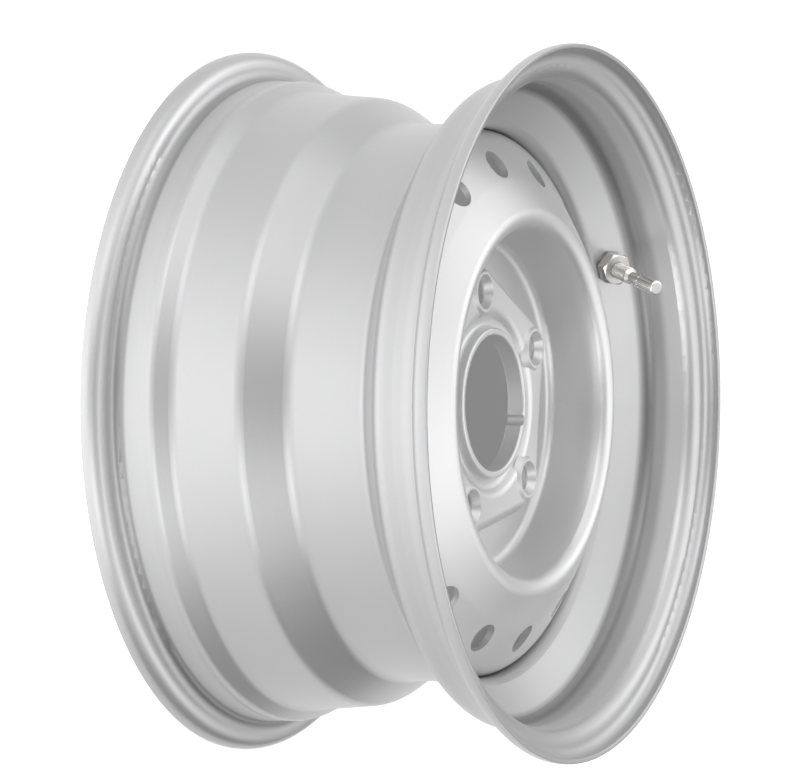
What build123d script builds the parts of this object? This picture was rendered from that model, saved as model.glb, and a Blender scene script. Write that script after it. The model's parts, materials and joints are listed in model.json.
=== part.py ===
"""Pressed steel road wheel with its clamp-in tyre valve, in millimetres.

The origin is the centre of the hub face, the flat ring of the disc that bears on the axle.
+Z is the spin axis and points out of the wheel's front, where the wheel nuts go.
"""

from build123d import *
from math import atan2, cos, degrees, radians, sin, tan
import os

# Rim: a 16 inch drop centre rim with J flanges
rim_width = 203.2
seat_radius = 202.8
flange_height = 17.5
rim_sheet = 3.0
hub_offset = 37.0
flange_curl = 9.5
flange_lip = 12.5
lip_droop = 1.4
heel_fillet = 6.5
seat_end_round = 12.0
rear_hump_round = 7.0
front_hump_round = 12.0
ledge_round = 10.0
well_round = 12.0
front_foot_round = 7.0
seat_width = 19.0
seat_taper = 5.0
hump_height = 1.0
rear_hump_length = 6.0
front_hump_length = 12.1
ledge_step = 11.0
ledge_drop = 8.8
ledge_fall = 4.0
ledge_length = 42.0
well_depth = 29.8
rear_wall_length = 24.5
front_wall_tilt = 55.5
rim_edge_round = 0.9

# Disc: one deep drawn pressing
disc_sheet = 4.5
disc_fit = 0.1
disc_edge_round = 0.4
skirt_length = 32.0
shoulder_round = 16.0
shoulder_height = 12.0
knee_inset = 31.9
knee_height = 33.5
knee_round = 45.0
crown_inset = 58.5
crown_height = 49.9
crown_bend = 3.5
dish_brow_drop = 14.0
dish_brow_draft = 4.8
dish_brow_round = 35.0
dish_draft = 2.2
dish_foot_round = 6.0
vent_count = 16
vent_diameter = 20.0
vent_inset = 22.1
vent_phase = 98.0

# Hub: a raised five sided land with the nut seats, and a drawn collar round the bore
land_height = 15.0
land_apothem = 71.0
land_corner_round = 24.0
land_side_slope = 38.0
land_edge_round = 4.0
land_inside_round = 6.2
land_inner_bend = 0.5
moat_height = 10.1
moat_width = 5.9
moat_step = 5.0
moat_outer_round = 4.5
bore_radius = 42.1
collar_height = 17.1
collar_round = 3.0
collar_edge_round = 1.4
bore_chamfer = 0.8
lug_count = 5
lug_circle_radius = 69.85
lug_hole_radius = 8.0
lug_boss_base_radius = 16.0
lug_boss_top_radius = 12.5
lug_boss_height = 1.6
seat_cone_angle = 60.0
seat_land = 1.2
land_overlap = 8.0
floor_overlap = 4.0
lug_phase = 101.3
notch_angle = -15.0
notch_radius = 4.0
notch_depth = 2.0
drill_length = 90.0
punch_length = 24.0

# Welds between the end of the disc's skirt and the well
weld_leg = 4.2
weld_fullness = 0.62
weld_count = 5
weld_arc = 48.0

# Valve: heights are along the stem, from the tyre side of the well wall
valve_angle = 29.0
valve_drop = 21.5
stem_radius = 5.1
stem_head_rim = 2.9
stem_head_thickness = 2.6
stem_bore_radius = 1.5
stem_shoulder_height = 27.0
stem_shoulder_taper = 2.0
neck_radius = 3.4
neck_end = 32.0
mouth_taper = 0.8
mouth_radius = 3.85
stem_length = 53.0
mouth_bore_radius = 2.6
mouth_bore_depth = 22.0
mouth_bore_taper = 1.2
grommet_rim = 0.6
grommet_thickness = 3.0
grommet_sleeve = 0.45
sleeve_setback = 0.3
grommet_taper = 0.8
rubber_fit = 0.05
washer_rim = 3.2
washer_bevel = 0.35
washer_thickness = 1.6
nut_across_flats = 19.0
nut_thickness = 7.5
nut_bevel_width = 1.8
nut_bevel_height = 1.1
thread_fit = 0.1
core_fit = 0.05
core_length = 11.0
core_depth = 0.6
core_cavity_radius = 1.75
core_ledge = 2.0
pin_radius = 0.65
pin_fit = 0.08
pin_collar_radius = 1.3
pin_collar_thickness = 1.0
pin_collar_depth = 2.4
pin_tail = 5.0
pin_recess = 0.3
core_seal_radius = 2.1
core_seal_thickness = 1.8
spring_wire_radius = 0.2
spring_turns = 5.0
cap_wall = 0.85
cap_length = 21.0
cap_wall_at_end = 3.0
cap_end_round = 1.6
cap_mouth_bevel = 0.4
cap_flutes = 12
flute_radius = 0.55
flute_bite = 0.3
flute_start = 4.0
flute_stop = 3.0
gasket_thickness = 1.2
gasket_fit = 0.1
gasket_lip = 0.4

# Values that several pieces share
front_face = rim_width / 2 - hub_offset
rear_face = front_face - rim_width
flange_radius = seat_radius + flange_height
ledge_radius = seat_radius - ledge_drop
well_radius = seat_radius - well_depth
lip_slope = atan2(lip_droop, flange_lip)
lip_corner_radius = flange_radius + flange_curl * (tan(lip_slope) + 1 / cos(lip_slope) - 1)
well_inner_radius = well_radius - rim_sheet
skirt_radius = well_inner_radius - disc_fit
skirt_end = shoulder_height - skirt_length
knee_radius = skirt_radius - knee_inset
crown_radius = skirt_radius - crown_inset
crown_round = crown_bend + disc_sheet
dish_brow_radius = crown_radius - dish_brow_draft
dish_foot_radius = dish_brow_radius - dish_draft
vent_circle_radius = skirt_radius - vent_inset
collar_radius = bore_radius + disc_sheet
moat_outer_radius = collar_radius + moat_width
land_inner_radius = moat_outer_radius + moat_step
land_inner_round = land_inner_bend + disc_sheet
valve_hole_radius = stem_radius + rubber_fit + grommet_sleeve + rubber_fit
stem_head_radius = stem_radius + stem_head_rim
grommet_radius = stem_head_radius + grommet_rim
washer_radius = valve_hole_radius + washer_rim
cap_radius = mouth_radius + thread_fit + cap_wall
lug_pitch = 360 / lug_count

# A solid that is centred across its place and rises from it
BASE = (Align.CENTER, Align.CENTER, Align.MIN)


def parallel(points, distance):
    """The same open outline shifted to its left by distance, with mitred corners."""
    headings = []
    for start, end in zip(points, points[1:]):
        headings.append(atan2(end[1] - start[1], end[0] - start[0]))
    turns = [headings[0]] + headings + [headings[-1]]
    shifted = []
    for point, before, after in zip(points, turns, turns[1:]):
        middle = (before + after) / 2
        reach = distance / cos((after - before) / 2)
        shifted.append((point[0] - reach * sin(middle), point[1] + reach * cos(middle)))
    return shifted


def turns_left(before, corner, after):
    """True where the outline bends to the left at a corner."""
    first = (corner[0] - before[0], corner[1] - before[1])
    second = (after[0] - corner[0], after[1] - corner[1])
    return first[0] * second[1] - first[1] * second[0] > 0


def sheet_section(points, radii, thickness, edge_round):
    """Section of a bent sheet: the outline given, and its parallel one thickness to the left."""
    inner_radii = []
    for index, radius in enumerate(radii):
        bend_left = turns_left(*points[index:index + 3])
        inner_radii.append(radius - thickness if bend_left else radius + thickness)
    outline = points + parallel(points, thickness)[::-1]
    ends = [edge_round, edge_round]
    rounding = [edge_round] + radii + ends + inner_radii[::-1] + [edge_round]
    return make_face(FilletPolyline(*outline, radius=rounding, close=True))


def polygon_section(points, radius):
    """Closed outline with every corner rounded to one radius."""
    return make_face(FilletPolyline(*points, radius=[radius] * len(points), close=True))


def turned(section):
    """A section drawn as radius and height, turned about the spin axis."""
    return revolve(Plane.XZ * section, axis=Axis.Z)


def ring(outer_radius, inner_radius, low, high):
    """Plain ring about Z between two heights."""
    blank = Pos(0, 0, low) * Cylinder(outer_radius, high - low, align=BASE)
    return blank - Pos(0, 0, low) * Cylinder(inner_radius, high - low, align=BASE)


def around(count, phase):
    """Angles of equally spaced features."""
    return [phase + index * 360 / count for index in range(count)]


def seat_line(distance):
    """Radius of the tapered bead seat at a distance from the flange."""
    return seat_radius - distance * tan(radians(seat_taper))


# Front wall of the well, which carries the valve
front_hump = front_face - seat_width - front_hump_length
front_hump_radius = seat_line(seat_width + front_hump_length) + hump_height
wall_rise = front_hump_radius - well_radius
wall_run = wall_rise / tan(radians(front_wall_tilt))
front_wall_foot = front_hump - wall_run


def rim_outline():
    """Tyre side of the rim from the rear lip to the front lip, as radius and height."""
    seat_end = seat_line(seat_width)
    rear_hump = rear_face + seat_width + rear_hump_length
    rear_hump_radius = seat_line(seat_width + rear_hump_length) + hump_height
    ledge_start = rear_hump + ledge_step
    ledge_end = ledge_start + ledge_length
    return [
        (lip_corner_radius - lip_droop, rear_face - flange_lip),
        (lip_corner_radius, rear_face),
        (seat_radius, rear_face),
        (seat_end, rear_face + seat_width),
        (rear_hump_radius, rear_hump),
        (ledge_radius, ledge_start),
        (ledge_radius - ledge_fall, ledge_end),
        (well_radius, ledge_end + rear_wall_length),
        (well_radius, front_wall_foot),
        (front_hump_radius, front_hump),
        (seat_end, front_face - seat_width),
        (seat_radius, front_face),
        (lip_corner_radius, front_face),
        (lip_corner_radius - lip_droop, front_face + flange_lip),
    ]


def make_rim():
    """Rolled rim band with the valve hole."""
    rear_bends = [flange_curl, heel_fillet, seat_end_round, rear_hump_round]
    well_bends = [ledge_round, well_round, well_round, front_foot_round]
    front_bends = [front_hump_round, seat_end_round, heel_fillet, flange_curl]
    bends = rear_bends + well_bends + front_bends
    rim = turned(sheet_section(rim_outline(), bends, rim_sheet, rim_edge_round))
    drill = Cylinder(valve_hole_radius, punch_length)
    return rim - valve_plane * drill


# The valve stands square on the front wall of the well
wall_heading = radians(front_wall_tilt)
valve_seat_radius = front_hump_radius - valve_drop * sin(wall_heading)
valve_seat_height = front_hump - valve_drop * cos(wall_heading)
valve_lean = 90 - front_wall_tilt
valve_direction = (
    -sin(radians(valve_lean)) * cos(radians(valve_angle)),
    -sin(radians(valve_lean)) * sin(radians(valve_angle)),
    cos(radians(valve_lean)),
)
valve_plane = Plane(
    origin=(
        valve_seat_radius * cos(radians(valve_angle)),
        valve_seat_radius * sin(radians(valve_angle)),
        valve_seat_height,
    ),
    x_dir=(-sin(radians(valve_angle)), cos(radians(valve_angle)), 0),
    z_dir=valve_direction,
)


def dish_shell():
    """Skirt, shoulder, vent slope, crown and dish wall down to the hub floor."""
    outline = [
        (skirt_radius, skirt_end),
        (skirt_radius, shoulder_height),
        (knee_radius, knee_height),
        (crown_radius, crown_height),
        (dish_brow_radius, crown_height - dish_brow_drop),
        (dish_foot_radius, disc_sheet),
        (land_inner_radius, disc_sheet),
    ]
    bends = [shoulder_round, knee_round, crown_round, dish_brow_round, dish_foot_round]
    return turned(sheet_section(outline, bends, disc_sheet, disc_edge_round))


def land_blank(drop, edge_round):
    """Five sided raised land as a solid block, lowered by drop for the inside of the sheet."""
    side_run = land_height / tan(radians(90 - land_side_slope))
    inset = drop * tan(radians((90 - land_side_slope) / 2))
    foot_apothem = land_apothem + side_run - inset
    corner_distance = foot_apothem / cos(radians(lug_pitch / 2))
    corners = []
    for angle in around(lug_count, lug_phase):
        corners.append((corner_distance * cos(radians(angle)), corner_distance * sin(radians(angle))))
    foot = polygon_section(corners, land_corner_round)
    block = extrude(foot, amount=land_height, taper=land_side_slope)
    top_edges = block.edges().group_by(Axis.Z)[-1]
    return Pos(0, 0, -drop) * fillet(top_edges, edge_round)


def hub_centre():
    """Inner ring of the hub: the step down to the moat, and the collar drawn up round the bore."""
    outline = [
        (land_inner_radius + land_overlap, land_height),
        (land_inner_radius, land_height),
        (moat_outer_radius, moat_height),
        (collar_radius, moat_height),
        (collar_radius, collar_height),
    ]
    bends = [land_inner_round, moat_outer_round, collar_round]
    drawn = turned(sheet_section(outline, bends, disc_sheet, collar_edge_round))
    bore_wall = ring(collar_radius, bore_radius, moat_height - disc_sheet, collar_height - collar_round)
    rear_edge = bore_wall.edges().group_by(Axis.Z)[0].sort_by(SortBy.RADIUS)[0]
    return drawn + chamfer(rear_edge, bore_chamfer)


def lug_boss():
    """Low cone pressed up round a wheel nut seat, with its base inside the land."""
    height = disc_sheet / 2 + lug_boss_height
    blank = Cone(lug_boss_base_radius, lug_boss_top_radius, height, align=BASE)
    return Pos(0, 0, land_height - disc_sheet / 2) * blank


def lug_cutter():
    """Stud hole with the coned seat for the wheel nut."""
    top = land_height + lug_boss_height
    narrow = land_height - disc_sheet + seat_land
    mouth = lug_hole_radius + (top - narrow) * tan(radians(seat_cone_angle / 2))
    hole = Cylinder(lug_hole_radius, drill_length)
    return hole + Pos(0, 0, narrow) * Cone(lug_hole_radius, mouth, top - narrow, align=BASE)


def make_disc():
    """Wheel disc with vents, nut seats, and the centre bore with a notch in its edge."""
    hollow = land_blank(disc_sheet, land_inside_round)
    land = land_blank(0, land_edge_round) - hollow
    centre_hole = Cylinder(land_inner_radius + land_overlap / 2, drill_length)
    disc = dish_shell() - Cylinder(land_apothem - floor_overlap, drill_length)
    disc = disc - hollow + (land - centre_hole) + hub_centre()
    lug_place = Pos(lug_circle_radius, 0, 0)
    lug_spots = [Rot(0, 0, angle) * lug_place for angle in around(lug_count, lug_phase)]
    for spot in lug_spots:
        disc = disc + spot * lug_boss()
    for spot in lug_spots:
        disc = disc - spot * lug_cutter()
    slope = degrees(atan2(knee_height - shoulder_height, skirt_radius - knee_radius))
    vent_height = shoulder_height + (skirt_radius - vent_circle_radius) * tan(radians(slope))
    punch = Rot(0, slope, 0) * Cylinder(vent_diameter / 2, punch_length)
    for angle in around(vent_count, vent_phase):
        disc = disc - Rot(0, 0, angle) * Pos(vent_circle_radius, 0, vent_height) * punch
    notch_centre = bore_radius + notch_depth - notch_radius
    notch = Rot(0, 0, notch_angle) * Pos(notch_centre, 0, 0) * Cylinder(notch_radius, drill_length)
    return disc - notch


def make_welds():
    """Weld runs in the corner between the end of the skirt and the well."""
    root = (well_inner_radius, skirt_end)
    on_skirt = (well_inner_radius - weld_leg, skirt_end)
    on_well = (well_inner_radius, skirt_end - weld_leg)
    crest_reach = weld_leg * weld_fullness
    crest = (well_inner_radius - crest_reach, skirt_end - crest_reach)
    section = make_face(Polyline(on_skirt, root, on_well) + ThreePointArc(on_well, crest, on_skirt))
    runs = []
    for angle in around(weld_count, lug_phase + lug_pitch / 2):
        bead = revolve(Plane.XZ * section, axis=Axis.Z, revolution_arc=weld_arc)
        runs.append(Rot(0, 0, angle - weld_arc / 2) * bead)
    return Compound(children=runs)


# Heights along the valve stem. The flat washer touches the hollow wall only at its rim.
washer_lift = washer_radius ** 2 / (2 * valve_seat_radius)
washer_base = rim_sheet + washer_lift
nut_base = washer_base + washer_thickness
grommet_base = -grommet_thickness
head_base = grommet_base - stem_head_thickness
mouth_bore_base = stem_length - mouth_bore_depth
core_top = stem_length - core_depth
core_base = core_top - core_length
seal_base = core_base - core_seal_thickness
collar_top = core_top - pin_collar_depth
spring_top = collar_top - pin_collar_thickness
spring_base = core_base + core_ledge


def stem_profile():
    """Half section of the stem, with its bore."""
    return [
        (stem_bore_radius, head_base),
        (stem_head_radius, head_base),
        (stem_head_radius, grommet_base),
        (stem_radius, grommet_base),
        (stem_radius, stem_shoulder_height),
        (neck_radius, stem_shoulder_height + stem_shoulder_taper),
        (neck_radius, neck_end),
        (mouth_radius, neck_end + mouth_taper),
        (mouth_radius, stem_length),
        (mouth_bore_radius, stem_length),
        (mouth_bore_radius, mouth_bore_base),
        (stem_bore_radius, mouth_bore_base - mouth_bore_taper),
    ]


def lathe(points):
    """Piece turned about the stem's own axis from a half section."""
    return revolve(Plane.XZ * make_face(Polyline(*points, close=True)), axis=Axis.Z)


def make_stem():
    """Valve stem."""
    return lathe(stem_profile())


def make_grommet():
    """Rubber seal with a sleeve that fills the hole in the rim."""
    bore = stem_radius + rubber_fit
    sleeve = valve_hole_radius - rubber_fit
    return lathe([
        (bore, grommet_base),
        (grommet_radius, grommet_base),
        (grommet_radius - grommet_taper, 0),
        (sleeve, 0),
        (sleeve, rim_sheet - sleeve_setback),
        (bore, rim_sheet - sleeve_setback),
    ])


def make_washer():
    """Flat ring under the nut."""
    washer = ring(washer_radius, stem_radius + thread_fit, washer_base, nut_base)
    return chamfer(washer.edges().group_by(Axis.Z)[-1].sort_by(SortBy.RADIUS)[-1:], washer_bevel)


def make_nut():
    """Hexagon nut with chamfered corners."""
    corner = nut_across_flats / 2 / cos(radians(30))
    hexagon = Pos(0, 0, nut_base) * extrude(RegularPolygon(corner, 6), amount=nut_thickness)
    nut_top = nut_base + nut_thickness
    turned_blank = lathe([
        (stem_radius + thread_fit, nut_base),
        (corner, nut_base),
        (corner, nut_top - nut_bevel_height),
        (corner - nut_bevel_width, nut_top),
        (stem_radius + thread_fit, nut_top),
    ])
    return hexagon & turned_blank


def make_core_body():
    """Plug of the valve core, screwed into the mouth of the stem."""
    outer = mouth_bore_radius - core_fit
    guide = pin_radius + pin_fit
    return lathe([
        (guide, core_base),
        (outer, core_base),
        (outer, core_top),
        (core_cavity_radius, core_top),
        (core_cavity_radius, spring_base),
        (guide, spring_base),
    ])


def make_core_pin():
    """Pin of the valve core, with the collar that the spring pushes on and a foot for the seal."""
    return lathe([
        (0, core_base - pin_tail),
        (pin_radius, core_base - pin_tail),
        (pin_radius, spring_top),
        (pin_collar_radius, spring_top),
        (pin_collar_radius, collar_top),
        (pin_radius, collar_top),
        (pin_radius, core_top - pin_recess),
        (0, core_top - pin_recess),
    ])


def make_core_seal():
    """Rubber ring on the pin, which closes the lower end of the core."""
    return ring(core_seal_radius, pin_radius, seal_base, core_base)


def make_core_spring():
    """Closing spring between the core's ledge and the pin's collar."""
    coil_radius = (core_cavity_radius + pin_radius) / 2
    low = spring_base + spring_wire_radius
    height = spring_top - spring_base - 2 * spring_wire_radius
    helix = Pos(0, 0, low) * Helix(height / spring_turns, height, coil_radius)
    wire = Plane(origin=helix @ 0, z_dir=helix % 0) * Circle(spring_wire_radius)
    return sweep(wire, path=helix)


def make_cap():
    """Metal screw cap with a domed end and fine flutes to grip."""
    low = stem_length - cap_length + cap_wall_at_end + gasket_thickness
    bore = mouth_radius + thread_fit
    outside = Pos(0, 0, low) * Cylinder(cap_radius, cap_length, align=BASE)
    outside = fillet(outside.edges().group_by(Axis.Z)[-1], cap_end_round)
    outside = chamfer(outside.edges().group_by(Axis.Z)[0], cap_mouth_bevel)
    bore_depth = stem_length + gasket_thickness - low
    cap = outside - Pos(0, 0, low) * Cylinder(bore, bore_depth, align=BASE)
    flute_length = cap_length - flute_start - flute_stop
    flute_centre = cap_radius + flute_radius - flute_bite
    flute = Pos(flute_centre, 0, low + flute_start) * Cylinder(flute_radius, flute_length, align=BASE)
    for angle in around(cap_flutes, 0):
        cap = cap - Rot(0, 0, angle) * flute
    return cap


def make_gasket():
    """Rubber disc in the end of the cap."""
    outer = mouth_radius - gasket_fit
    inner = mouth_bore_radius - gasket_lip
    return ring(outer, inner, stem_length, stem_length + gasket_thickness)


def make_parts():
    """Every piece of the wheel by name, in place."""
    parts = {
        "rim_band": make_rim(),
        "wheel_disc": make_disc(),
        "disc_welds": make_welds(),
    }
    valve = {
        "valve_stem": make_stem,
        "valve_grommet": make_grommet,
        "valve_washer": make_washer,
        "valve_nut": make_nut,
        "valve_core_body": make_core_body,
        "valve_core_pin": make_core_pin,
        "valve_core_seal": make_core_seal,
        "valve_core_spring": make_core_spring,
        "valve_cap": make_cap,
        "valve_cap_gasket": make_gasket,
    }
    for name, make in valve.items():
        parts[name] = valve_plane * make()
    return parts


os.makedirs("parts", exist_ok=True)
for name, shape in make_parts().items():
    export_step(shape, f"parts/{name}.step")
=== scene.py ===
"""Studio view of a pressed steel road wheel, laid out as a Blender add-on and run as a script.

Lengths are metres. +Z is the spin axis, out of the wheel's front, and the wheel lies on its rear flange.
The camera lies on its side, so that the spin axis runs across the picture.
"""

import json
import math

import bpy
from bpy.props import FloatProperty, FloatVectorProperty, IntProperty, PointerProperty
from mathutils import Matrix, Vector


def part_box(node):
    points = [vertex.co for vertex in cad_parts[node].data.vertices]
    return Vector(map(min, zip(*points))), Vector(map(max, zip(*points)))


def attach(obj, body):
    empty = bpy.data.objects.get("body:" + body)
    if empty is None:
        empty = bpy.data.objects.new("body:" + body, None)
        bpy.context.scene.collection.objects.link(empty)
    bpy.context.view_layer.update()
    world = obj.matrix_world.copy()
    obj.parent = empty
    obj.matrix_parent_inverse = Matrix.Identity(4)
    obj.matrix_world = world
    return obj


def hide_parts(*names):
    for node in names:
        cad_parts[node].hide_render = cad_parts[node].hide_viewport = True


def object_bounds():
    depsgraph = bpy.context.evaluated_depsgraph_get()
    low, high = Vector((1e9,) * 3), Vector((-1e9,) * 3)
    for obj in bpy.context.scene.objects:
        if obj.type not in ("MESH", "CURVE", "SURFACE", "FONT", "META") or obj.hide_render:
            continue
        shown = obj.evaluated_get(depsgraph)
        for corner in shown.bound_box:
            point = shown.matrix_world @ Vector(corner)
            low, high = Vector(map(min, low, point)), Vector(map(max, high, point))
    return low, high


bl_info = {
    "name": "Steel Road Wheel",
    "version": (1, 0, 0),
    "blender": (4, 5, 0),
    "location": "View3D > Sidebar > Wheel",
    "description": "Finishes a pressed steel wheel, adds its welds and threads, and sets up its studio",
    "category": "Object",
}

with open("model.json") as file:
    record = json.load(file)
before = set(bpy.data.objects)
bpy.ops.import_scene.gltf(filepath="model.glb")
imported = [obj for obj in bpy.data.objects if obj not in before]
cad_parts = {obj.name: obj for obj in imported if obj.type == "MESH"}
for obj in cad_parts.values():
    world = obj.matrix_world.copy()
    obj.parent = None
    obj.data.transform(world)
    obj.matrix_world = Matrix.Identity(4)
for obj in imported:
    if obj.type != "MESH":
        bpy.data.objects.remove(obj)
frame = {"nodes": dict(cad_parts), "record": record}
cad_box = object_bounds()

# Soft boxes of the studio: azimuth and elevation in degrees, then strength. The camera is at 180, and the
# picture's upper side is at 90.
SOFT_BOXES = {
    "overhead": (0, 90, 2.3),
    "upper_back": (45, 15, 1.2),
    "upper_side": (90, 15, 2.0),
    "upper_front": (137, 15, 3.6),
    "camera_side": (180, 15, 0.4),
    "lower_front": (212, 15, 4.2),
    "high_back": (30, 48, 3.0),
    "high_upper": (90, 48, 1.0),
    "high_upper_front": (120, 45, 0.9),
    "high_lower_front": (238, 43, 0.6),
    "high_lower": (270, 60, 2.1),
    "high_lower_back": (330, 48, 1.5),
}

# Rings on the rim of painted shade, where the paint is darker, and of painted light, where it is paler,
# for light and shade that the lamps don't give there; the rear root's painted shade also covers a beaded
# highlight from the mesh's facets. Each is radius, height, reach and width of the soft edge.
GROOVE_PAINTED_SHADE = (0.194, 0.036, 0.0064, 0.003)
SEAT_PAINTED_LIGHT = (0.190, 0.056, 0.0125, 0.0025)
REAR_FACE_PAINTED_LIGHT = (0.2125, -0.1345, 0.0075, 0.0025)
REAR_ROOT_PAINTED_SHADE = (0.2045, -0.1335, 0.0042, 0.0015)
PAINTED_SHADE_COLOUR = (0.07, 0.07, 0.072, 1.0)
PAINTED_SHADE_DEPTH = 0.7  # how far the painted shade takes the paint to that colour

FACE_TOLERANCE = 0.0001  # a point this close to the plane of an end face lies on it

# Middle of the front flange in the camera's own axes, in flange radii.
FLANGE_IN_VIEW = Vector((0.5184, -0.0551, -12.521))
SENSOR_WIDTH = 36  # millimetres
FAR_CLIP = 100
FLOOR_REACH = 30.0

BLACK = (0.0, 0.0, 0.0, 1.0)
WHITE = (1.0, 1.0, 1.0, 1.0)


class Socket:
    """A socket of a node tree whose arithmetic adds the nodes that work it out."""

    def __init__(self, tree, link):
        self.tree = tree
        self.link = link

    def math(self, operation, *values):
        return self.tree.node("ShaderNodeMath", {"operation": operation}, self, *values)

    def __add__(self, other):
        return self.math("ADD", other)

    __radd__ = __add__

    def __sub__(self, other):
        return self.math("SUBTRACT", other)

    def __rsub__(self, other):
        return (self * -1) + other

    def __mul__(self, other):
        return self.math("MULTIPLY", other)

    __rmul__ = __mul__

    def __truediv__(self, other):
        return self.math("DIVIDE", other)

    def __pow__(self, other):
        return self.math("POWER", other)

    def __abs__(self):
        return self.math("ABSOLUTE")

    def sine(self):
        return self.math("SINE")

    def at_least(self, other):
        return self.math("MAXIMUM", other)

    def at_most(self, other):
        return self.math("MINIMUM", other)

    def vector_math(self, operation, *values, output=0):
        settings = {"operation": operation}
        return self.tree.node("ShaderNodeVectorMath", settings, self, *values, output=output)

    def size(self):
        """Length of a vector."""
        return self.vector_math("LENGTH", output="Value")

    def toward(self, direction):
        """Dot product of a vector with a direction."""
        return self.vector_math("DOT_PRODUCT", direction, output="Value")


class Tree:
    """A node tree that is filled by calls: one for each node."""

    def __init__(self, data):
        self.nodes = data.nodes
        self.links = data.links

    def node(self, kind, settings=None, *values, output=0, **named):
        """Add a node, set its settings, then its sockets by order or by name. Returns one output."""
        made = self.nodes.new(kind)
        for name, value in (settings or {}).items():
            setattr(made, name, value)
        for index, value in enumerate(values):
            self.feed(made.inputs[index], value)
        for name, value in named.items():
            self.feed(made.inputs[name.replace("_", " ")], value)
        return Socket(self, made.outputs[output])

    def feed(self, socket, value):
        if isinstance(value, Socket):
            self.links.new(value.link, socket)
        elif value is not None:
            socket.default_value = value

    def mix(self, factor, first, second):
        """Blend of two colours. A Mix node's colour sockets come after those for numbers and vectors."""
        made = self.nodes.new("ShaderNodeMix")
        made.data_type = "RGBA"
        self.feed(made.inputs["Factor"], factor)
        self.feed(made.inputs[6], first)
        self.feed(made.inputs[7], second)
        return Socket(self, made.outputs[2])

    def split(self, vector):
        """The three parts of a vector."""
        made = self.nodes.new("ShaderNodeSeparateXYZ")
        self.feed(made.inputs[0], vector)
        return [Socket(self, output) for output in made.outputs]


class Finish(Tree):
    """A material under construction, with one Principled shader."""

    def __init__(self, name, **constants):
        self.material = bpy.data.materials.new(name)
        self.material.use_nodes = True
        data = self.material.node_tree
        data.nodes.clear()
        super().__init__(data)
        self.shader = data.nodes.new("ShaderNodeBsdfPrincipled")
        output = data.nodes.new("ShaderNodeOutputMaterial")
        data.links.new(self.shader.outputs["BSDF"], output.inputs["Surface"])
        for socket, value in constants.items():
            self.set(socket, value)

    def set(self, socket, value):
        self.feed(self.shader.inputs[socket.replace("_", " ")], value)

    def place(self, scale=(1, 1, 1)):
        """Object coordinates, scaled."""
        coordinates = self.nodes.new("ShaderNodeTexCoord").outputs["Object"]
        return self.node(
            "ShaderNodeVectorMath", {"operation": "MULTIPLY"}, Socket(self, coordinates), scale
        )

    def noise(self, vector, scale, detail=2.0, roughness=0.5):
        return self.node(
            "ShaderNodeTexNoise", {}, Vector=vector, Scale=scale, Detail=detail, Roughness=roughness
        )

    def relief(self, height, distance, strength=1.0):
        """Bump from a height, on the shader's normal."""
        bump = self.node(
            "ShaderNodeBump", {}, Strength=strength, Distance=distance, Height=height
        )
        self.set("Normal", bump)


def socket_kind(value):
    """Kind of the group input that holds a value."""
    if isinstance(value, Vector):
        return "NodeSocketVector"
    if isinstance(value, bpy.types.Material):
        return "NodeSocketMaterial"
    return "NodeSocketInt" if isinstance(value, int) else "NodeSocketFloat"


class Former(Tree):
    """A Geometry Nodes tree under construction, with named inputs."""

    def __init__(self, name, **inputs):
        self.group = bpy.data.node_groups.new(name, "GeometryNodeTree")
        super().__init__(self.group)
        self.values = {}
        entry = self.nodes.new("NodeGroupInput")
        for label, value in inputs.items():
            item = self.group.interface.new_socket(
                name=label.replace("_", " "), in_out="INPUT", socket_type=socket_kind(value)
            )
            self.values[item.identifier] = value
            setattr(self, label, Socket(self, entry.outputs[item.identifier]))
        self.group.interface.new_socket(
            name="Geometry", in_out="OUTPUT", socket_type="NodeSocketGeometry"
        )

    def vector(self, x=0.0, y=0.0, z=0.0):
        return self.node("ShaderNodeCombineXYZ", {}, x, y, z)

    def make(self, geometry, material, piece_name):
        """Finish the tree, evaluate it, and return a plain mesh object."""
        plain = self.node("GeometryNodeRealizeInstances", {}, geometry)
        painted = self.node("GeometryNodeSetMaterial", {}, plain, Material=material)
        leave = self.nodes.new("NodeGroupOutput")
        self.feed(leave.inputs[0], painted)
        holder = bpy.data.objects.new(piece_name, bpy.data.meshes.new(piece_name))
        bpy.context.scene.collection.objects.link(holder)
        modifier = holder.modifiers.new("form", "NODES")
        modifier.node_group = self.group
        for identifier, value in self.values.items():
            modifier[identifier] = value
        graph = bpy.context.evaluated_depsgraph_get()
        mesh = bpy.data.meshes.new_from_object(holder.evaluated_get(graph))
        holder.modifiers.remove(modifier)
        holder.data = mesh
        return holder


def shade(colour, share=1.0):
    """A share of a colour, with alpha."""
    return tuple(share * part for part in colour) + (1.0,)


def near_ring(finish, here, ring):
    """1 on the surface within reach of a ring round the spin axis, with a soft edge."""
    radius, height, reach, edge = ring
    across = here.vector_math("MULTIPLY", (1, 1, 0)).size() - radius
    _, _, z = finish.split(here)
    far = (across ** 2.0 + (z - height) ** 2.0) ** 0.5
    return ((reach - far) / edge).at_least(0.0).at_most(1.0)


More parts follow.
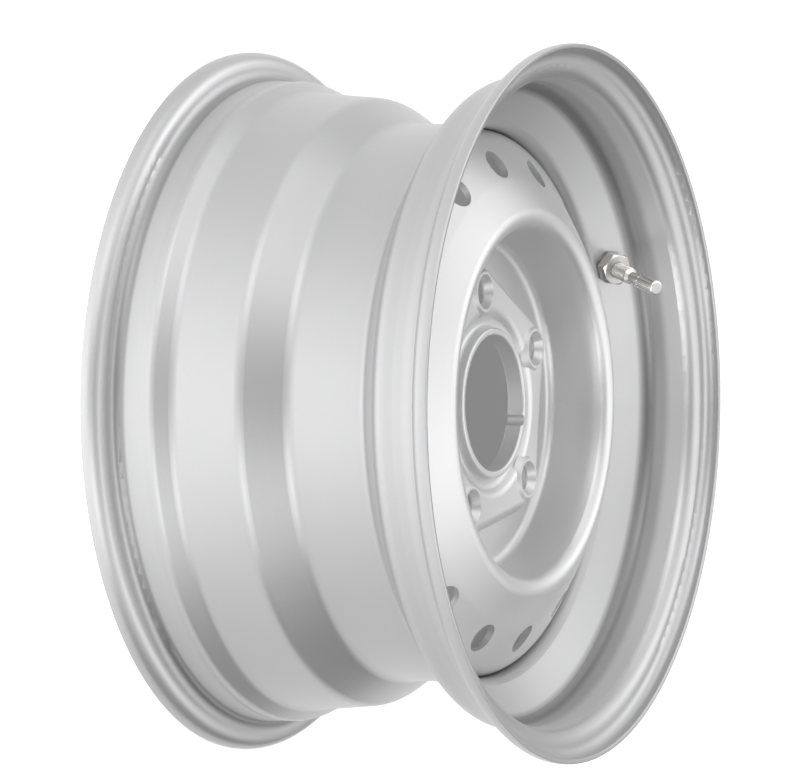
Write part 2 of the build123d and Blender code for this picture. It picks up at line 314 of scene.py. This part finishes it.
def silver_paint(settings, name="silver_paint", roll_marks_and_painted_light_and_shade=0.0, colour=None):
    """Wheel paint with fine flakes, a little orange peel and a soft clear coat; with roll marks, also
    rings of painted shade and painted light.
    """
    finish = Finish(name, Coat_Weight=settings.coat, Coat_Roughness=0.3)
    here = finish.place()
    cloud = finish.noise(here, scale=11.0, detail=3.0)
    flake = finish.node("ShaderNodeTexVoronoi", {}, Vector=here, Scale=1700.0)
    speck = finish.noise(here, scale=900.0, roughness=0.7)
    colour = colour or settings.disc_colour
    mottle = cloud * 0.6 + speck * 0.5
    tone = finish.mix(mottle, shade(colour), shade(colour, 0.9))
    # The texture's mean is taken off again, so that the settings stay the average.
    sparkle_mean, haze_mean = 0.06, 0.05
    finish.set("Metallic", flake * 0.15 + (settings.metallic - sparkle_mean))
    finish.set("Roughness", cloud * 0.06 + speck * 0.05 + (settings.roughness - haze_mean))
    peel = finish.noise(here, scale=380.0, detail=1.5)
    height = peel * 0.8 + finish.noise(here, scale=1500.0, detail=1.0) * 0.2
    if roll_marks_and_painted_light_and_shade:
        # Painted shade in the groove and at the rear flange's root, and painted light on the front seat
        # and the rear flange's face.
        root_shade_share = 0.7
        deep = near_ring(finish, here, GROOVE_PAINTED_SHADE) + near_ring(finish, here, REAR_ROOT_PAINTED_SHADE) * root_shade_share
        painted_light = near_ring(finish, here, SEAT_PAINTED_LIGHT) + near_ring(finish, here, REAR_FACE_PAINTED_LIGHT)
        tone = finish.mix(deep * PAINTED_SHADE_DEPTH, tone, PAINTED_SHADE_COLOUR)
        tone = finish.mix(painted_light.at_most(1.0), tone, shade(settings.disc_colour))
        stretched = finish.place((6.0, 6.0, 700.0))
        rolled = finish.noise(stretched, scale=1.0, detail=3.0, roughness=0.6)
        height = height + rolled * roll_marks_and_painted_light_and_shade
    finish.set("Base_Color", tone)
    finish.relief(height, distance=0.00007, strength=0.55)
    return finish.material


def rolled_paint_with_painted_light_and_shade(settings):
    """The same paint over the fine rings that roll forming leaves in the rim, with rings of painted shade
    and painted light.
    """
    return silver_paint(settings, "silver_paint_rolled_with_painted_light_and_shade", 0.7, settings.rim_colour_with_painted_shade)


def plated_metal(settings):
    """Bright nickel plate with faint smears, darker and rougher on the end faces of the nut and cap."""
    finish = Finish("plated_metal", Metallic=1.0)
    here = finish.place()
    smear = finish.noise(here, scale=240.0, detail=4.0, roughness=0.6)
    plate = settings.plate_colour
    smeared_share, end_face_share = 0.82, 0.45
    smeared = finish.mix(smear, shade(plate), shade(plate, smeared_share))
    middle, axis = valve_axis()
    along = here.toward(tuple(axis)) - middle.dot(axis)
    end = 0
    for node in ("valve_nut", "valve_cap"):
        top = max((v.co - middle).dot(axis) for v in frame["nodes"][node].data.vertices)
        end = abs(along - top).math("LESS_THAN", FACE_TOLERANCE) + end
    finish.set("Base_Color", finish.mix(end, smeared, shade(plate, end_face_share)))
    polish, smear_haze, end_face_haze = 0.14, 0.2, 0.3
    finish.set("Roughness", smear * smear_haze + polish + end * end_face_haze)
    finish.relief(finish.noise(here, scale=2600.0), distance=0.00001, strength=0.35)
    return finish.material


def grained(name, pale, deep, scale, roughness, spread, relief, detail=2.0, depth=0.00001, **constants):
    """A plain finish with one fine grain in its colour, its gloss and its relief."""
    finish = Finish(name, **constants)
    grain = finish.noise(finish.place(), scale=scale, detail=detail)
    finish.set("Base_Color", finish.mix(grain, shade(pale), shade(deep)))
    finish.set("Roughness", grain * spread + roughness)
    finish.relief(grain, distance=depth, strength=relief)
    return finish.material


def floor_white_with_painted_light(stage):
    """Pale paper that glows: evenly enough to stay white under the lights, and more on the camera's side
    close to the wheel, a painted pool of light that lights the wheel.
    """
    finish = Finish("floor_white_with_painted_light", Roughness=0.9, Specular_IOR_Level=0.0)
    fibre = finish.noise(finish.place(), scale=90.0, detail=4.0)
    finish.set("Base_Color", finish.mix(fibre, (0.31, 0.31, 0.31, 1.0), (0.29, 0.29, 0.29, 1.0)))
    flat = finish.place((1, 1, 0))
    # A painted pool of light: the floor glows more on the camera's side, and most close to the wheel.
    camera_side = (-1, 0, 0)
    side = flat.vector_math("NORMALIZE").toward(camera_side).at_least(0.0) ** stage.side_narrowness
    fade_end = 1.75  # in reaches, and the fade is one reach wide
    near = (fade_end - flat.size() / stage.glow_reach).at_least(0.0).at_most(1.0)
    glow = stage.floor_glow + side * (stage.side_glow + near * stage.near_glow)
    most = stage.floor_glow + stage.side_glow + stage.near_glow
    finish.set("Emission_Color", finish.mix(glow / most, BLACK, WHITE))
    finish.set("Emission_Strength", most)
    return finish.material


def make_finishes(settings):
    """Every finish of the CAD nodes, by slot."""
    return {
        "silver_paint": silver_paint(settings),
        "plated_metal": plated_metal(settings),
        "core_brass": grained(
            "core_brass", pale=(0.72, 0.54, 0.25), deep=(0.6, 0.42, 0.18), scale=900.0,
            roughness=0.22, spread=0.2, relief=0.4, Metallic=1.0,
        ),
        "spring_steel": grained(
            "spring_steel", pale=(0.58, 0.58, 0.57), deep=(0.42, 0.42, 0.41), scale=1500.0,
            roughness=0.25, spread=0.2, relief=0.3, Metallic=1.0,
        ),
        "black_rubber": grained(
            "black_rubber", pale=(0.022, 0.022, 0.023), deep=(0.045, 0.045, 0.045), scale=700.0,
            roughness=0.55, spread=0.25, relief=0.5, detail=3.0, depth=0.00008,
            Specular_IOR_Level=0.35,
        ),
    }


class WheelFinishSettings(bpy.types.PropertyGroup):
    """Colours and gloss of the wheel's finishes."""

    disc_colour: FloatVectorProperty(
        name="Disc paint",
        description="Colour of the silver paint on the disc",
        default=(0.50, 0.50, 0.505),
        subtype="COLOR",
        size=3,
    )
    # The rim band has the same silver paint as the disc; its colour is set darker than the disc's as
    # painted shade.
    rim_colour_with_painted_shade: FloatVectorProperty(
        name="Rim paint",
        description="Colour of the silver paint on the rim band",
        default=(0.38, 0.38, 0.385),
        subtype="COLOR",
        size=3,
    )
    metallic: FloatProperty(
        name="Metallic", description="How metallic the paint looks", default=0.5, min=0, max=1
    )
    roughness: FloatProperty(
        name="Roughness", description="Roughness of the paint", default=0.36, min=0, max=1
    )
    coat: FloatProperty(
        name="Clear coat", description="Weight of the clear coat", default=0.3, min=0, max=1
    )
    plate_colour: FloatVectorProperty(
        name="Plate colour",
        description="Colour of the nickel plate",
        default=(0.94, 0.92, 0.88),
        subtype="COLOR",
        size=3,
    )


class WheelWeldSettings(bpy.types.PropertyGroup):
    """Weld beads between the disc's skirt and the well."""

    count: IntProperty(name="Welds", description="Number of weld runs", default=5, min=1)
    bead_radius: FloatProperty(
        name="Run radius", description="Radius of the bead's middle line", default=0.1691, unit="LENGTH"
    )
    bead_height: FloatProperty(
        name="Run height", description="Height of the middle line", default=-0.0209, unit="LENGTH"
    )
    size: FloatProperty(
        name="Bead size", description="Radius of the bead", default=0.0036, unit="LENGTH"
    )
    ripple: FloatProperty(
        name="Ripple", description="Height of the ripples", default=0.00045, unit="LENGTH"
    )
    ripple_pitch: FloatProperty(
        name="Ripple pitch", description="Distance between ripples", default=0.0022, unit="LENGTH"
    )
    sweep: FloatProperty(
        name="Sweep", description="Angle of one run", default=math.radians(48), subtype="ANGLE"
    )
    phase: FloatProperty(
        name="Phase", description="Angle of the first run's middle", default=math.radians(137.3),
        subtype="ANGLE",
    )


class WheelThreadSettings(bpy.types.PropertyGroup):
    """Threads of the valve stem. Heights run along the stem from the middle of the washer."""

    shank_radius: FloatProperty(
        name="Shank radius", description="Radius of the shank's thread", default=0.00505,
        unit="LENGTH"
    )
    shank_start: FloatProperty(
        name="Shank start", description="Where the shank's thread leaves the nut", default=0.0092,
        unit="LENGTH",
    )
    shank_length: FloatProperty(
        name="Shank length", description="Length of thread in view", default=0.0129, unit="LENGTH"
    )
    shank_pitch: FloatProperty(
        name="Shank pitch", description="Pitch of the shank's thread", default=0.0010, unit="LENGTH"
    )
    mouth_radius: FloatProperty(
        name="Mouth radius", description="Radius of the mouth's thread", default=0.0037,
        unit="LENGTH"
    )
    mouth_start: FloatProperty(
        name="Mouth start", description="Where the mouth's thread starts", default=0.0295,
        unit="LENGTH",
    )
    mouth_length: FloatProperty(
        name="Mouth length", description="Length of the mouth's thread", default=0.0190,
        unit="LENGTH",
    )
    mouth_pitch: FloatProperty(
        name="Mouth pitch", description="Pitch of the mouth's thread", default=0.0008,
        unit="LENGTH",
    )


class WheelStageSettings(bpy.types.PropertyGroup):
    """Camera, floor and lights."""

    floor_glow: FloatProperty(
        name="Floor glow", description="Light that the floor gives by itself", default=0.72, min=0
    )
    side_glow: FloatProperty(
        name="Side glow", description="More glow on the camera's side of the floor", default=0.78, min=0
    )
    side_narrowness: FloatProperty(
        name="Side narrowness", description="Exponent of that glow's falloff", default=4.0, min=0
    )
    near_glow: FloatProperty(
        name="Near glow", description="More glow there, close to the wheel", default=0.65, min=0
    )
    glow_reach: FloatProperty(
        name="Glow reach", description="How far the near glow goes", default=0.4, unit="LENGTH"
    )
    light_level: FloatProperty(
        name="Light level", description="Factor on all the soft boxes", default=1.03, min=0
    )
    box_softness: FloatProperty(
        name="Softness", description="Exponent of a soft box's falloff", default=14.0, min=1
    )
    axis_turn: FloatProperty(
        name="Axis turn",
        description="How far the spin axis is turned out of the picture's plane",
        default=math.radians(26.47),
        subtype="ANGLE",
    )
    axis_tilt: FloatProperty(
        name="Axis tilt",
        description="How far the spin axis is tipped up in the picture",
        default=math.radians(-0.378),
        subtype="ANGLE",
    )
    flange_radius: FloatProperty(
        name="Flange radius", description="Outer radius of the flanges", default=0.2203, unit="LENGTH"
    )
    flange_height: FloatProperty(
        name="Flange height", description="Height of the front flange's edge", default=0.0751,
        unit="LENGTH",
    )
    lens: FloatProperty(name="Lens", description="Focal length in millimetres", default=205.6)


def picture_axes(stage):
    """The wheel's axes across, over and along the spin axis, in the camera's own axes."""
    turn, tilt = stage.axis_turn, stage.axis_tilt
    spin = Vector((
        math.cos(turn) * math.cos(tilt),
        math.sin(tilt),
        math.sin(turn) * math.cos(tilt),
    ))
    across = Vector((0, 1, 0)).cross(spin).normalized()
    return across, spin.cross(across), spin


def camera_matrix(stage):
    """Where the camera stands, from the front flange's place in the picture."""
    turn = Matrix(picture_axes(stage))
    place = turn @ (-stage.flange_radius * FLANGE_IN_VIEW) + Vector((0, 0, stage.flange_height))
    return Matrix.Translation(place) @ turn.to_4x4()


def valve_axis():
    """Middle of the valve's washer, and the direction of its stem."""
    low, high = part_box("valve_washer")
    joints = frame["record"]["behaviour"]["joints"]
    axis = next(joint["axis"] for joint in joints if joint["name"] == "cap_off")
    return (Vector(low) + Vector(high)) / 2, Vector(axis).normalized()


class WHEEL_OT_finish_nodes(bpy.types.Operator):
    """Give every CAD node the finish of its slot."""

    bl_idname = "wheel.finish_nodes"
    bl_label = "Finish CAD nodes"

    def execute(self, context):
        settings = context.scene.wheel_finish
        made = make_finishes(settings)
        for part in frame["record"]["subparts"]:
            mesh = frame["nodes"][part["node"]].data
            mesh.materials.clear()
            mesh.materials.append(made[part["material_slot"]])
        frame["nodes"]["rim_band"].data.materials[0] = rolled_paint_with_painted_light_and_shade(settings)
        return {"FINISHED"}


class WHEEL_OT_weld_beads(bpy.types.Operator):
    """Lay rippled weld beads between the disc and the well."""

    bl_idname = "wheel.weld_beads"
    bl_label = "Add weld beads"

    def execute(self, context):
        weld = context.scene.wheel_weld
        form = Former(
            "weld_beads",
            Count=weld.count,
            Run_radius=weld.bead_radius,
            Run_height=weld.bead_height,
            Size=weld.size,
            Ripple=weld.ripple,
            Ripple_pitch=weld.ripple_pitch,
            Sweep=weld.sweep,
            Phase=weld.phase,
            Paint=bpy.data.materials["silver_paint"],
        )
        run = form.node(
            "GeometryNodeCurveArc", {"mode": "RADIUS"},
            Resolution=420, Radius=form.Run_radius, Sweep_Angle=form.Sweep,
        )
        along = form.node("GeometryNodeSplineParameter", output="Factor")
        end_sharpness = 60  # the higher, the shorter the rounded ends
        fullness = (1 - abs(along * 2 - 1) ** end_sharpness) ** 0.5
        tapered = form.node("GeometryNodeSetCurveRadius", {}, run, Radius=fullness)
        section = form.node(
            "GeometryNodeCurvePrimitiveCircle", {"mode": "RADIUS"}, Resolution=18, Radius=form.Size
        )
        bead = form.node(
            "GeometryNodeCurveToMesh", {}, tapered, Profile_Curve=section, Fill_Caps=True
        )
        here = form.node("GeometryNodeInputPosition")
        x, y, _ = form.split(here)
        travelled = y.math("ARCTAN2", x) * form.Run_radius
        wave = abs((travelled * math.pi / form.Ripple_pitch).sine())
        outward = form.node("GeometryNodeInputNormal")
        mean_wave = 0.6
        shift = form.node(
            "ShaderNodeVectorMath", {"operation": "SCALE"}, outward,
            Scale=(wave - mean_wave) * form.Ripple,
        )
        rippled = form.node("GeometryNodeSetPosition", {}, bead, Offset=shift)
        spots = form.node(
            "GeometryNodePoints", {}, form.Count, form.vector(z=form.Run_height)
        )
        index = form.node("GeometryNodeInputIndex")
        start = index * (2 * math.pi) / form.Count + form.Phase - form.Sweep / 2
        runs = form.node(
            "GeometryNodeInstanceOnPoints", {}, spots, Instance=rippled, Rotation=form.vector(z=start)
        )
        piece = form.make(runs, form.Paint, "weld_beads")
        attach(piece, "wheel")
        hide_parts("disc_welds")
        return {"FINISHED"}


class WHEEL_OT_stem_threads(bpy.types.Operator):
    """Wind the threads on the valve stem."""

    bl_idname = "wheel.stem_threads"
    bl_label = "Add stem threads"

    def execute(self, context):
        thread = context.scene.wheel_thread
        self.wind("shank_thread", thread.shank_radius, thread.shank_start, thread.shank_length,
                  thread.shank_pitch)
        self.wind("mouth_thread", thread.mouth_radius, thread.mouth_start, thread.mouth_length,
                  thread.mouth_pitch)
        return {"FINISHED"}

    def wind(self, name, radius, start, length, pitch):
        """One helical ridge, sunk a little into the stem."""
        middle, axis = valve_axis()
        turn = axis.to_track_quat("Z", "Y").to_euler()
        form = Former(
            name,
            Radius=radius,
            Pitch=pitch,
            Length=length,
            Ridge=pitch / 4,
            Place=middle + axis * start,
            Turn=Vector(turn),
            Plate=bpy.data.materials["plated_metal"],
        )
        path = form.node(
            "GeometryNodeCurveSpiral", {},
            Resolution=40, Rotations=form.Length / form.Pitch, Start_Radius=form.Radius,
            End_Radius=form.Radius, Height=form.Length,
        )
        section = form.node(
            "GeometryNodeCurvePrimitiveCircle", {"mode": "RADIUS"}, Resolution=4, Radius=form.Ridge
        )
        ridge = form.node(
            "GeometryNodeCurveToMesh", {}, path, Profile_Curve=section, Fill_Caps=True
        )
        placed = form.node(
            "GeometryNodeTransform", {}, ridge, Translation=form.Place, Rotation=form.Turn
        )
        piece = form.make(placed, form.Plate, name)
        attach(piece, "wheel")


class WHEEL_OT_stage(bpy.types.Operator):
    """Set up the floor, the lights and the camera."""

    bl_idname = "wheel.stage"
    bl_label = "Set up stage"

    def execute(self, context):
        scene = context.scene
        stage = scene.wheel_stage
        self.lay_floor(scene, stage)
        self.place_camera(scene, stage)
        self.light_dome(scene, stage)
        scene.view_settings.view_transform = "Standard"
        return {"FINISHED"}

    def lay_floor(self, scene, stage):
        """A plain sheet under the wheel."""
        size, low = FLOOR_REACH, cad_box[0][2]
        corners = [(-size, -size, low), (size, -size, low), (size, size, low), (-size, size, low)]
        mesh = bpy.data.meshes.new("floor")
        mesh.from_pydata(corners, [], [(0, 1, 2, 3)])
        mesh.materials.append(floor_white_with_painted_light(stage))
        floor = bpy.data.objects.new("floor", mesh)
        scene.collection.objects.link(floor)

    def place_camera(self, scene, stage):
        """The photo's camera."""
        data = bpy.data.cameras.new("camera")
        data.lens = stage.lens
        data.sensor_width = SENSOR_WIDTH
        data.sensor_fit = "HORIZONTAL"
        data.clip_end = FAR_CLIP
        camera = bpy.data.objects.new("camera", data)
        camera.matrix_world = camera_matrix(stage)
        scene.collection.objects.link(camera)
        scene.camera = camera

    def light_dome(self, scene, stage):
        """A dome of soft boxes round the wheel, plain white where the camera sees it."""
        world = bpy.data.worlds.new("dome")
        world.use_nodes = True
        dome = Tree(world.node_tree)
        direction = Socket(dome, dome.nodes.new("ShaderNodeTexCoord").outputs["Generated"])
        total = None
        for azimuth, elevation, strength in SOFT_BOXES.values():
            lean = Matrix.Rotation(-math.radians(elevation), 3, "Y")
            toward = Matrix.Rotation(math.radians(azimuth), 3, "Z") @ lean @ Vector((1, 0, 0))
            lobe = direction.toward(toward).at_least(0.0) ** stage.box_softness * strength
            total = lobe if total is None else total + lobe
        background = dome.nodes["Background"]
        dome.feed(background.inputs["Color"], WHITE)
        seen = dome.node("ShaderNodeLightPath", output="Is Camera Ray")
        dome.feed(background.inputs["Strength"], total * stage.light_level * (1 - seen) + seen)
        scene.world = world


class WHEEL_PT_panel(bpy.types.Panel):
    """Lists the steps that finish the wheel."""

    bl_idname = "WHEEL_PT_panel"
    bl_label = "Steel Road Wheel"
    bl_space_type = "VIEW_3D"
    bl_region_type = "UI"
    bl_category = "Wheel"

    def draw(self, context):
        for group_name in SETTINGS:
            group = getattr(context.scene, group_name)
            for name in group.bl_rna.properties.keys():
                if name not in ("rna_type", "name"):
                    self.layout.prop(group, name)
        for operator in OPERATORS:
            self.layout.operator(operator.bl_idname)


SETTINGS = {
    "wheel_finish": WheelFinishSettings,
    "wheel_weld": WheelWeldSettings,
    "wheel_thread": WheelThreadSettings,
    "wheel_stage": WheelStageSettings,
}
OPERATORS = (WHEEL_OT_finish_nodes, WHEEL_OT_weld_beads, WHEEL_OT_stem_threads, WHEEL_OT_stage)
CLASSES = (*SETTINGS.values(), *OPERATORS, WHEEL_PT_panel)


def register():
    for item in CLASSES:
        bpy.utils.register_class(item)
    for name, group in SETTINGS.items():
        setattr(bpy.types.Scene, name, PointerProperty(type=group))


def unregister():
    for name in SETTINGS:
        delattr(bpy.types.Scene, name)
    for item in reversed(CLASSES):
        bpy.utils.unregister_class(item)


def main():
    register()
    bpy.ops.wheel.finish_nodes()
    bpy.ops.wheel.weld_beads()
    bpy.ops.wheel.stem_threads()
    bpy.ops.wheel.stage()


if __name__ == "__main__":
    main()
